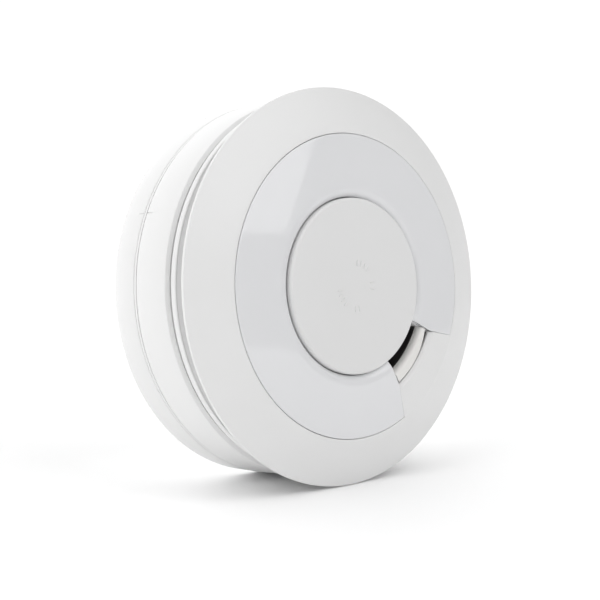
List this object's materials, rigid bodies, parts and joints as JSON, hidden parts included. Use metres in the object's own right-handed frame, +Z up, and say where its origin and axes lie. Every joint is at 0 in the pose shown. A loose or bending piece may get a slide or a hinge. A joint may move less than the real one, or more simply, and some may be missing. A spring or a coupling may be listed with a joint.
{
  "type": "smoke alarm",
  "caption": "Round optical smoke alarm: shallow domed face with a glossy C-shaped trim ring, round test button and sound slot, on a head that twists off its mounting plate.",
  "frame": {"origin": "centre of the mounting plate's back face, on the wall or ceiling surface", "axes": "+Y out of the back into the wall, so the face looks along -Y; +X right and +Z up as seen from the front"},
  "size_m": [0.115, 0.0426, 0.115],
  "materials": {
    "white_moulding": "fine matte spark-eroded texture",
    "gloss_moulding": "polished",
    "grey_moulding": "satin",
    "black_moulding": "matte, light-absorbing",
    "dark_resin": "satin",
    "clear_resin": "clear, polished",
    "board_laminate": "lacquered",
    "cell_sleeve": "plain sleeve",
    "plated_steel": "zinc plated",
    "aluminium_can": "satin",
    "copper_winding": "enamelled copper wire",
    "brass": "rolled",
    "piezo_ceramic": "silvered ceramic"
  },
  "bodies": {
    "mounting_plate": {"mounting_plate": "white_moulding"},
    "head": {"rear_housing": "white_moulding", "inlet_ring": "white_moulding", "inlet_cage": "white_moulding", "front_cover": "white_moulding", "trim_ring": "gloss_moulding", "button_spring": "plated_steel", "sounder_base": "black_moulding", "sounder_horn": "grey_moulding", "piezo_disc": "brass", "piezo_ceramic": "piezo_ceramic", "chamber_base": "black_moulding", "chamber_cap": "black_moulding", "insect_screen": "plated_steel", "infrared_emitter": "clear_resin", "photodiode": "dark_resin", "circuit_board": "board_laminate", "microcontroller": "dark_resin", "storage_capacitor": "aluminium_can", "sounder_coil": "copper_winding", "indicator_led": "clear_resin", "light_guide": "clear_resin", "test_switch": "dark_resin", "power_switch": "black_moulding", "battery_holder": "black_moulding", "lithium_cell": "cell_sleeve", "positive_contact": "plated_steel", "negative_contact": "plated_steel", "board_screw_1": "plated_steel", "board_screw_2": "plated_steel", "board_screw_3": "plated_steel", "board_screw_4": "plated_steel", "cover_screw_1": "plated_steel", "cover_screw_2": "plated_steel", "cover_screw_3": "plated_steel"},
    "test_button": {"test_button": "white_moulding"},
    "switch_plunger": {"test_switch_plunger": "white_moulding"},
    "power_slide": {"power_slide": "white_moulding"}
  },
  "joints": [
    {"name": "head_twist", "type": "hinge", "parent": "mounting_plate", "child": "head", "pos_m": [0, 0, 0], "axis": [0, -1, 0], "range_deg": [0, 16.9]},
    {"name": "test_button_press", "type": "slide", "parent": "head", "child": "test_button", "axis": [0, 1, 0], "range_m": [0, 0.001], "stiffness_N_per_m": 800, "deforming": ["button_spring"]},
    {"name": "test_switch_press", "type": "slide", "parent": "head", "child": "switch_plunger", "axis": [0, 1, 0], "range_m": [0, 0.001]},
    {"name": "power_slide_travel", "type": "slide", "parent": "head", "child": "power_slide", "axis": [0.5, 0, -0.866], "range_m": [0, 0.003]}
  ],
  "couplings": [
    {"joint": "test_switch_press", "follows": "test_button_press", "ratio": 1},
    {"joint": "power_slide_travel", "follows": "head_twist", "m_per_rad": 0.01017}
  ]
}
